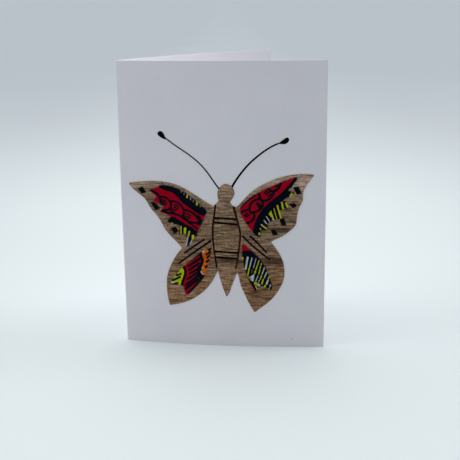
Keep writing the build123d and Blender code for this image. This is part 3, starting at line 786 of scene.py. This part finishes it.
fibreSheet = dict(
    base=0.0, thickness=0.30, step=(0.9, 0.2), underStep=2.0, cutRound=0.12, cutDrop=0.08,
    # ripples of the relief: scale in X and in Z, seed and weight
    ribs=[(0.05, 1.3, 4.0, 0.7), (0.11, 2.6, 9.0, 0.3)], ribDepth=0.055,
    swell=(0.07, 0.12, 1.0), swellDepth=0.03,
    colours=dict(pale=(156, 128, 100), deep=(130, 102, 75), line=(40, 24, 15), bright=(204, 177, 148),
                 old=(46, 22, 14), warm=(154, 106, 54), tip=(220, 194, 175)),
    # main grain, light lines, cross lines and drift of the colour: scale along, scale across and seed
    grains=[(100.0, 1250.0, 3.0), (140.0, 1400.0, 21.0), (1250.0, 420.0, 8.0), (220.0, 900.0, 33.0)],
    grainSway=0.4, grainSwayScale=60.0, roughness=(0.62, 0.80), specular=0.15, bump=(0.09, 0.8),
    # how much each mask shows at most; warmSpan is where the warm foot begins and is whole, in metres
    paler=0.8, older=(0.6, 0.95), warmFoot=0.6, warmSpan=(0.060, 0.035), warmStreaks=0.3,
    lightLines=0.6, darkLines=0.85, darkLinesOnPale=0.45, crossLines=0.42,
    darkStrands=0.95, brightStrands=0.7, rimShare=0.35, rimWidth=0.35, rimRaggedness=0.5,
    strands=dict(density=260000.0, shortest=2.0, longest=9.0, radius=0.11, tilt=0.03, seed=11, points=13,
                 drift=0.4, driftScale=130.0, facing=-0.85, rayStart=-10.0, rayLength=30.0),
    # soft patches: X, Z, reach in X and Z, and how much older (+) or paler (-) the sheet is there
    patches=[
        (2.5, 46.8, 7, 1.6, 1.2), (27.5, 46.8, 8, 1.8, 1.5), (31.5, 63.3, 3.8, 1.3, 1.3),
        (27.5, 64.1, 6, 0.5, 0.8), (2, 63.6, 7.5, 1.2, 0.4), (2, 59.4, 8, 0.5, 0.4),
        (-20, 25.2, 7, 0.7, 0.5), (-12, 48, 5, 3, 0.25), (21, 29, 9, 6, 0.3),
        (41, 88, 7, 5, -1), (27, 88.5, 9, 2.2, -0.95), (16.5, 82.5, 5, 4, -0.6),
        (-43, 86, 6, 2, -0.7), (-28, 87.3, 8, 2, -0.75), (-9, 79, 6, 3, -0.2),
        (30, 81, 6, 1.2, -0.2), (10, 66, 2.5, 5, -0.3), (1.5, 74.6, 6, 0.5, 0.3),
        (1, 83.2, 4, 0.3, 0.4), (0.5, 85.5, 5, 3.5, -0.4), (1.7, 38.5, 4, 4.5, -0.7),
        (30, 57, 4, 3, -0.1), (-23, 28.5, 6, 4, -0.6), (24.5, 60.2, 5, 1.8, 0.3),
        (-17, 54.1, 5, 2.4, -0.6), (-16, 81.8, 4, 3, -0.45), (28.7, 84, 3, 1.8, -0.5),
        (0, 76.4, 5, 1.6, -0.5), (-36.5, 70.4, 3, 2, 0.3), (11.6, 62.3, 3, 2.2, 0.35),
        (12.6, 57, 3, 2, -0.4), (24.3, 55, 3, 1.6, -0.4), (-4.6, 41.7, 2.5, 1.8, -0.45),
        (2.2, 41.3, 2, 1.2, 0.35), (9.9, 46.3, 2.5, 1.8, 0.35), (14, 32.3, 3, 2, -0.3),
    ],
)


def bananaFibre():
    form = fibreSheet
    material, tree, shader = newMaterial("bananaFibre", form["specular"])
    colours = {name: paint(colour) for name, colour in form["colours"].items()}
    place = objectPlace(tree)
    swayed = vectors(tree, "ADD", place, sway(tree, place, form["grainSwayScale"], form["grainSway"]))
    grain, light, cross, drift = [
        effect(tree, fibreGrain, Vector=swayed, Along=along, Across=across, Seed=seed)
        for along, across, seed in form["grains"]]
    age, shade = readPoint(tree, "age"), readPoint(tree, "shade")
    paler = spread(tree, age, 0.0, -1.0)
    warmth = maths(tree, "ADD",
                   spread(tree, axesOf(tree, place)["Z"], *form["warmSpan"], 0.0, form["warmFoot"]),
                   spread(tree, drift["Streak"], 0.5, 1.0, 0.0, form["warmStreaks"]))
    darkLines = spread(tree, paler, 0.0, 1.0, form["darkLines"], form["darkLinesOnPale"])
    older = spread(tree, grain["Streak"], 0.0, 1.0, *form["older"])
    wear = effect(tree, rimWear, Vector=place, Width=form["rimWidth"], Raggedness=form["rimRaggedness"])
    tone = layered(tree, colours["pale"], [
        (grain["Streak"], colours["deep"]),
        (times(tree, paler, form["paler"]), colours["tip"]),
        (warmth, colours["warm"]),
        (times(tree, light["Line"], form["lightLines"]), colours["bright"]),
        (times(tree, grain["Line"], darkLines), colours["line"]),
        (times(tree, cross["Line"], form["crossLines"]), colours["line"]),
        (spread(tree, shade, 0.0, 1.0, 0.0, form["darkStrands"]), colours["line"]),
        (spread(tree, shade, 0.0, -1.0, 0.0, form["brightStrands"]), colours["bright"]),
        (times(tree, spread(tree, age, 0.0, 1.0), older), colours["old"]),
        (times(tree, wear["Mask"], form["rimShare"]), colours["pale"]),
    ])
    finishMaterial(tree, shader, form, tone, grain["Streak"], grain["Height"])
    return material


def fibreRelief(points, rim):
    form = fibreSheet
    ribs = sum(rippled(points, *ripple) * weight for *ripple, weight in form["ribs"])
    swell = rippled(points, *form["swell"])
    height = form["thickness"] + ribs * form["ribDepth"] + (swell - 0.5) * form["swellDepth"]
    return height - cutRounding(rim, form)


def makeStrandTree():
    # loose strands that lie along the sheet and are trimmed to it
    tree, given, result = newTree(
        "raisedStrands", Density=100000.0, Shortest=0.003, Longest=0.012, Radius=0.00007, Tilt=0.03, Seed=1)
    form = fibreSheet["strands"]
    normal = take(tree, "GeometryNodeInputNormal")
    front = take(tree, "FunctionNodeCompare", {0: axesOf(tree, normal)["Y"], 1: form["facing"]},
                operation="LESS_THAN")
    spots = put(tree, "GeometryNodeDistributePointsOnFaces", {
        "Mesh": given["Geometry"], "Selection": front, "Density": given["Density"], "Seed": given["Seed"]})
    straw = take(tree, "GeometryNodeMeshLine", {
        "Count": form["points"], "Start Location": (-0.5, 0.0, 0.0),
        "Offset": (1 / (form["points"] - 1), 0.0, 0.0)})
    size = combined(tree, X=chance(tree, given["Shortest"], given["Longest"], given["Seed"]), Y=1.0, Z=1.0)
    lean = chance(tree, times(tree, given["Tilt"], -1.0), given["Tilt"],
                  maths(tree, "ADD", given["Seed"], 5.0))
    laid = take(tree, "GeometryNodeInstanceOnPoints", {
        "Points": spots.outputs["Points"], "Instance": straw, "Rotation": combined(tree, Y=lean),
        "Scale": size})
    # below 0 the strand is bright, above 0 dark
    shade = chance(tree, -1.0, 1.0, maths(tree, "ADD", given["Seed"], 9.0))
    toned = take(tree, "GeometryNodeStoreNamedAttribute", {"Geometry": laid, "Name": "shade", "Value": shade},
                domain="INSTANCE")
    loose = take(tree, "GeometryNodeRealizeInstances", {"Geometry": toned})
    place = take(tree, "GeometryNodeInputPosition")
    drift = sway(tree, place, form["driftScale"], form["drift"])
    loose = shifted(tree, loose, Offset=drift)
    # a ray from in front puts each point on the sheet, or finds that it lies beside it
    before = vectors(tree, "ADD", place, (0.0, form["rayStart"] * mm, 0.0))
    ray = put(tree, "GeometryNodeRaycast", {
        "Target Geometry": given["Geometry"], "Source Position": before,
        "Ray Direction": (0.0, 1.0, 0.0), "Ray Length": form["rayLength"] * mm}).outputs
    missed = take(tree, "FunctionNodeBooleanMath", {0: ray["Is Hit"]}, operation="NOT")
    landed = shifted(tree, loose, Position=ray["Hit Position"], Selection=ray["Is Hit"])
    trimmed = take(tree, "GeometryNodeDeleteGeometry", {"Geometry": landed, "Selection": missed},
                  domain="POINT")
    tubesAlong(tree, trimmed, given, result, 5)
    return tree


def storeAge(mesh, points):
    age = np.zeros(len(points))
    for x, z, reachX, reachZ, amount in fibreSheet["patches"]:
        age += amount * np.exp(-((points[:, 0] - x) / reachX) ** 2 - ((points[:, 1] - z) / reachZ) ** 2)
    store(mesh, "age", np.clip(age, -1, 1))


def growStrands(sheet):
    form = fibreSheet["strands"]
    loose = grown("fibreStrands", sheet.data.copy(), makeStrandTree(), {
        "Density": form["density"], "Tilt": form["tilt"], "Seed": form["seed"],
        "Material": sheet.data.materials[0], **metres(form, "shortest", "longest", "radius")})
    places = np.empty(len(loose.data.vertices) * 3)
    loose.data.vertices.foreach_get("co", places)
    storeAge(loose.data, places.reshape(-1, 3)[:, (0, 2)] / mm)
    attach(loose, "root")
    print("strands:", len(loose.data.polygons), "faces")


def makeButterfly():
    loops = faceLoops("butterfly_cutout")
    made, points = makeLayer("fibreButterfly", loops, fibreSheet, fibreRelief, bananaFibre())
    storeAge(made.data, points)
    growStrands(made)
    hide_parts("butterfly_cutout")
    print("butterfly made,", len(made.data.polygons), "faces")


# Scraps of printed cotton

printedCotton = dict(
    base=0.27, thickness=0.27, step=(0.19, 0.17), underStep=2.0, cutRound=0.14, cutDrop=0.07,
    pucker=0.05, puckerScale=0.16, slack=0.015, slackScale=0.5, edgeLift=0.03, liftReach=0.8,
    threads=3300.0, unevenness=0.5, roughness=(0.95, 0.86), specular=0.05, bump=(0.06, 0.7),
    # the dye darker in its blotches, painted shade between the threads, and the pale worn rim
    blotchAndGapShade=(0.0, 0.0, 0.0, 1.0), blotchScale=420.0, blotchSpan=(0.35, 0.7), blotches=0.22,
    gapSpan=(0.1, 0.7), gaps=0.35,
    worn=(0.6, 0.58, 0.55, 1.0), rimShare=0.06, rimWidth=0.3, rimRaggedness=0.6,
    # the soft and ragged border of each dye; within edgeGap of the cloth's edge a print has none
    dyeEdge=0.1, raggedness=0.06, raggedScale=2.2, edgeGap=0.03, rimGap=0.02,
    fray=dict(spacing=0.24, shortest=0.15, longest=0.75, radius=0.035, share=0.55), frayLevel=0.7,
    red=(178, 0, 33), black=(6, 12, 26), yellow=(206, 214, 20), orange=(232, 112, 4), white=(214, 217, 215),
)
# bleed: how far each dye spreads past its outline or stops short of it
scraps = [
    dict(name="left_forewing", ground="red", prints=["black", "yellow", "white"], turn=0.35, seed=2.0,
         bleed=dict(black=0.05, yellow=-0.04, white=-0.07)),
    dict(name="right_forewing", ground="red", prints=["black", "yellow", "white"], turn=-0.5, seed=5.0,
         bleed=dict(black=0.05, yellow=-0.04, white=-0.04)),
    dict(name="left_hindwing", ground="red", prints=["yellow", "orange", "black", "white"], turn=0.2,
         seed=8.0, bleed=dict(black=0.07, white=-0.04)),
    dict(name="right_hindwing", ground="black", prints=["red", "yellow", "white"], turn=-0.15, seed=12.0,
         bleed=dict(yellow=-0.09, white=-0.06)),
]


def cottonCloth(name, turn):
    form = printedCotton
    material, tree, shader = newMaterial(name, form["specular"])
    place = objectPlace(tree)
    weave = effect(tree, plainWeave, Vector=place, Turn=turn, Threads=form["threads"],
                   Unevenness=form["unevenness"])
    wear = effect(tree, rimWear, Vector=place, Width=form["rimWidth"], Raggedness=form["rimRaggedness"])
    uneven = clouds(tree, place, form["blotchScale"], 3.0)[0]
    tone = layered(tree, readPoint(tree, "dye", "Color"), [
        (spread(tree, uneven, *form["blotchSpan"], 0.0, form["blotches"]), form["blotchAndGapShade"]),
        # painted shade between the threads, where the weave is low
        (spread(tree, weave["Shade"], *form["gapSpan"], form["gaps"], 0.0), form["blotchAndGapShade"]),
        (times(tree, wear["Mask"], form["rimShare"]), form["worn"]),
    ])
    finishMaterial(tree, shader, form, tone, weave["Shade"], weave["Height"])
    return material


def dyedPoints(points, rim, scrap, clothLoops):
    # the colour at each point; a print that runs to the cloth's cut edge has no soft border there
    form = printedCotton
    colour = np.tile(np.array(paint(form[scrap["ground"]])), (len(points), 1))
    ragged = rippled(points, form["raggedScale"], form["raggedScale"], scrap["seed"]) * form["raggedness"]
    for dye in scrap["prints"]:
        loops = faceLoops(f"{scrap['name']}_{dye}_print")
        starts, ends = segments(loops)
        inner = rimDistance((starts + ends) / 2, clothLoops) > form["edgeGap"]
        depth = segmentDistance(points, starts[inner], ends[inner])
        depth = depth * np.where(insideOf(points, loops), 1, -1) + ragged
        depth = depth + scrap["bleed"].get(dye, 0.0)
        share = np.clip(0.5 + depth / form["dyeEdge"], 0, 1)[:, None]
        colour = colour * (1 - share) + np.array(paint(form[dye])) * share
    # points on the cut edge take the colour of the nearest one within it
    inside = np.flatnonzero(rim > form["rimGap"])
    for index in np.flatnonzero(rim <= form["rimGap"]):
        nearest = np.argmin(np.hypot(*(points[inside] - points[index]).T))
        colour[index] = colour[inside[nearest]]
    return colour


def makeScrap(scrap):
    form = printedCotton

    def relief(points, rim):
        pucker = rippled(points, form["puckerScale"], form["puckerScale"], scrap["seed"]) * form["pucker"]
        slack = rippled(points, form["slackScale"], form["slackScale"], scrap["seed"] + 3) * form["slack"]
        lift = form["edgeLift"] * np.exp(-rim / form["liftReach"])
        return form["thickness"] + pucker + slack + lift - cutRounding(rim, form)

    name = camel(scrap["name"])
    material = cottonCloth(name + "Cotton", scrap["turn"])
    loops = faceLoops(scrap["name"] + "_cloth")
    made, points = makeLayer(name + "Cloth", loops, form, relief, material)
    colours = dyedPoints(points, rimDistance(points, loops), scrap, loops)
    store(made.data, "dye", colours)
    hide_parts(scrap["name"] + "_cloth", *[f"{scrap['name']}_{dye}_print" for dye in scrap["prints"]])

    def dyes(spots):
        return {"dye": colours[[np.argmin(np.hypot(*(points - spot).T)) for spot in spots]]}

    lift = form["base"] + form["thickness"] * form["frayLevel"]
    threads = frayed(name + "Threads", loops, lift, form, int(scrap["seed"]), material, dyes)


# Snippets of dark cotton along the forewings' edges

darkSnippet = dict(
    base=0.27, thickness=0.25, step=(0.16, 0.16), underStep=1.0, cutRound=0.16, cutDrop=0.07, curl=0.06,
    curlScale=0.35, colour=(3, 4, 6), glint=(18, 19, 22), glintSpan=(0.3, 1.0), threads=2600.0, turn=0.4,
    unevenness=0.8, roughness=(0.95, 0.85), specular=0.04, bump=(0.08, 0.8),
    fray=dict(spacing=0.3, shortest=0.1, longest=0.4, radius=0.035, share=0.5), frayLift=0.45,
    names=["left_tip_snippet", "left_edge_snippet", "left_lower_snippet", "right_tip_snippet",
           "right_edge_snippet", "right_middle_snippet", "right_lower_snippet"],
    # the first snippet's seeds
    curlSeed=20.0, fraySeed=40,
)


def darkCotton():
    form = darkSnippet
    material, tree, shader = newMaterial("darkCotton", form["specular"])
    weave = effect(tree, plainWeave, Vector=objectPlace(tree), Threads=form["threads"], Turn=form["turn"],
                   Unevenness=form["unevenness"])
    glints = spread(tree, weave["Shade"], *form["glintSpan"])
    tone = mixed(tree, glints, paint(form["colour"]), paint(form["glint"]))
    finishMaterial(tree, shader, form, tone, weave["Shade"], weave["Height"])
    return material


def makeSnippets():
    form = darkSnippet
    material = darkCotton()
    for index, node in enumerate(form["names"]):
        def relief(points, rim):
            curl = rippled(points, form["curlScale"], form["curlScale"], form["curlSeed"] + index)
            return form["thickness"] + curl * form["curl"] - cutRounding(rim, form)

        loops = faceLoops(node)
        made, _ = makeLayer(camel(node), loops, form, relief, material)
        frayed(camel(node) + "Threads", loops, form["frayLift"], form, form["fraySeed"] + index, material,
               lambda spots: {})
        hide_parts(node)
    print("snippets made")


# Slivers of dark bark, and the antennae

barkSliver = dict(
    base=0.27, thickness=0.19, step=(0.17, 0.13), underStep=1.0, outset=0.07, keptGap=0.85, axisStep=0.3,
    rib=0.04, ribScale=(0.25, 4.5), crown=0.28,
    black=(4, 2, 4), maroon=(62, 14, 20), glint=(70, 44, 38), grain=(150.0, 4500.0, 2.0), grainShift=1.7,
    blotch=0.2, blotchScale=350.0, glintSpan=(0.62, 0.95), glints=(0.04, 0.6),
    roughness=(0.58, 0.81), specular=0.04, bump=(0.06, 0.7),
    fray=dict(spacing=0.5, shortest=0.1, longest=0.5, radius=0.04, share=0.22),
)
# the clubs of the antennae grow more than their stems, and fade into them over clubFade
feeler = {
    **barkSliver, "base": 0.0, "thickness": 0.12, "step": (0.15, 0.12), "rib": 0.02,
    "clubOutset": 0.16, "clubLength": 2.8, "clubFade": 1.0,
    "stemOutset": {"left_antenna": 0.0, "right_antenna": 0.05},
}
crumb = dict(
    base=0.27, thickness=0.12, step=(0.12, 0.12), underStep=1.0,
    # torn ends that lie by the slivers: points of the middle line in X and Z, and width
    lines=[([(22.1, 51.9), (22.8, 53.1), (23.5, 53.4)], 0.3), ([(22.3, 51.8), (23.2, 50.9)], 0.28)],
)
# how maroon each piece is at its first end, in its middle and at its other end
sliverTints = {
    "left_side_sliver": (0.2, 0.2, 0.5), "right_side_sliver": (0.85, 0.75, 0.7),
    "upper_crossbar": (-0.2, -0.1, -0.1), "second_crossbar": (-0.2, -0.1, -0.1),
    "third_crossbar": (-0.1, -0.1, -0.1), "lower_crossbar": (-0.1, -0.1, -0.1),
    "left_upper_wing_sliver": (0.3, 0.2, 0.6), "left_lower_wing_sliver": (0.3, -0.1, -0.1),
    "right_upper_wing_sliver": (0.1, -0.1, -0.1), "right_lower_wing_sliver": (0.4, 0.1, 0.4),
    "left_antenna": (-0.2, 0.7, -0.1), "right_antenna": (-0.1, -0.1, -0.2),
}


def darkBark():
    form = barkSliver
    material, tree, shader = newMaterial("darkBark", form["specular"])
    place = readPoint(tree, "grain", "Vector")
    along, across, seed = form["grain"]
    grain = effect(tree, fibreGrain, Vector=place, Along=along, Across=across, Seed=seed)
    blotch = noiseFrom(tree, place, form["blotchScale"], 2.0, -form["blotch"], form["blotch"])
    share = maths(tree, "ADD", readPoint(tree, "tint"), blotch, clamp=True)
    glints = times(tree, spread(tree, grain["Streak"], *form["glintSpan"]),
                   spread(tree, share, 0.0, 1.0, *form["glints"]))
    tone = layered(tree, paint(form["black"]), [
        (share, paint(form["maroon"])), (glints, paint(form["glint"]))])
    finishMaterial(tree, shader, form, tone, grain["Streak"], grain["Height"])
    return material


def outsets(node, loop):
    # how far the outline moves at each point
    if node not in feeler["stemOutset"]:
        return np.full(len(loop), barkSliver["outset"])
    fromTip = loop[:, 1].max() - loop[:, 1]
    clubEnd = feeler["clubLength"]
    return np.interp(fromTip, [clubEnd - feeler["clubFade"], clubEnd],
                     [feeler["clubOutset"], feeler["stemOutset"][node]])


def widened(loop, amount):
    # the ring moved outwards, without the points that would cross in a hollow corner
    run = np.roll(loop, -1, axis=0) - np.roll(loop, 1, axis=0)
    outward = np.column_stack([run[:, 1], -run[:, 0]]) / np.hypot(*run.T)[:, None]
    moved = loop + outward * amount[:, None] * np.sign(signedArea(loop))
    return moved[rimDistance(moved, [loop]) >= np.abs(amount) * barkSliver["keptGap"]]


def longAxis(ring, middle):
    # the direction that the ring is longest in; it points right, or up where it is steep
    spots = divided(ring, barkSliver["axisStep"])
    axis = np.linalg.svd(spots - middle, full_matrices=False)[2][0]
    return axis * np.sign(axis[0] if abs(axis[0]) > 0.3 else axis[1])


def makeSliver(node, form, material):
    loops = [widened(loop, outsets(node, loop)) for loop in faceLoops(node)]
    ring = max(loops, key=len)
    middle = ring.mean(axis=0)
    runAxis = longAxis(ring, middle)
    sideAxis = np.array([-runAxis[1], runAxis[0]])
    # each sliver has its own piece of grain
    seed = len(node)

    def relief(points, rim):
        crown = np.sqrt(np.clip(rim / form["crown"], 0, 1))
        places = np.column_stack([(points - middle) @ runAxis, (points - middle) @ sideAxis])
        ribs = rippled(places, *form["ribScale"], seed) * form["rib"] * crown
        return form["thickness"] * (0.5 + 0.5 * crown) + ribs

    made, points = makeLayer(camel(node), loops, form, relief, material)
    along, across = (points - middle) @ runAxis, (points - middle) @ sideAxis
    share = (along - along.min()) / (along.max() - along.min())
    shift = np.full(len(along), seed * form["grainShift"])
    store(made.data, "grain", np.column_stack([along, shift, across]) * mm)
    store(made.data, "tint", np.interp(share, [0, 0.5, 1], sliverTints[node]))
    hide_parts(node)
    if "antenna" not in node:
        frayed(camel(node) + "Fibres", loops, form["base"] + form["thickness"] / 2, form, seed, material,
               lambda spots: {"tint": np.full(len(spots), max(sliverTints[node]))})


def makeCrumbs(material):
    for index, (points, width) in enumerate(crumb["lines"]):
        line = np.array(points)
        run = np.gradient(line, axis=0)
        side = np.column_stack([-run[:, 1], run[:, 0]]) / np.hypot(*run.T)[:, None] * width / 2
        ring = np.vstack([line + side, (line - side)[::-1]])
        makeLayer(f"barkCrumb{index + 1}", [ring], crumb,
                  lambda spots, rim: np.full(len(spots), crumb["thickness"]), material)


def makeSlivers():
    material = darkBark()
    makeCrumbs(material)
    for node in sliverTints:
        makeSliver(node, feeler if "antenna" in node else barkSliver, material)
    print("slivers and antennae made")


makeCamera()
makeStudio()
makeCard()
makeButterfly()
for scrap in scraps:
    makeScrap(scrap)
makeSnippets()
makeSlivers()
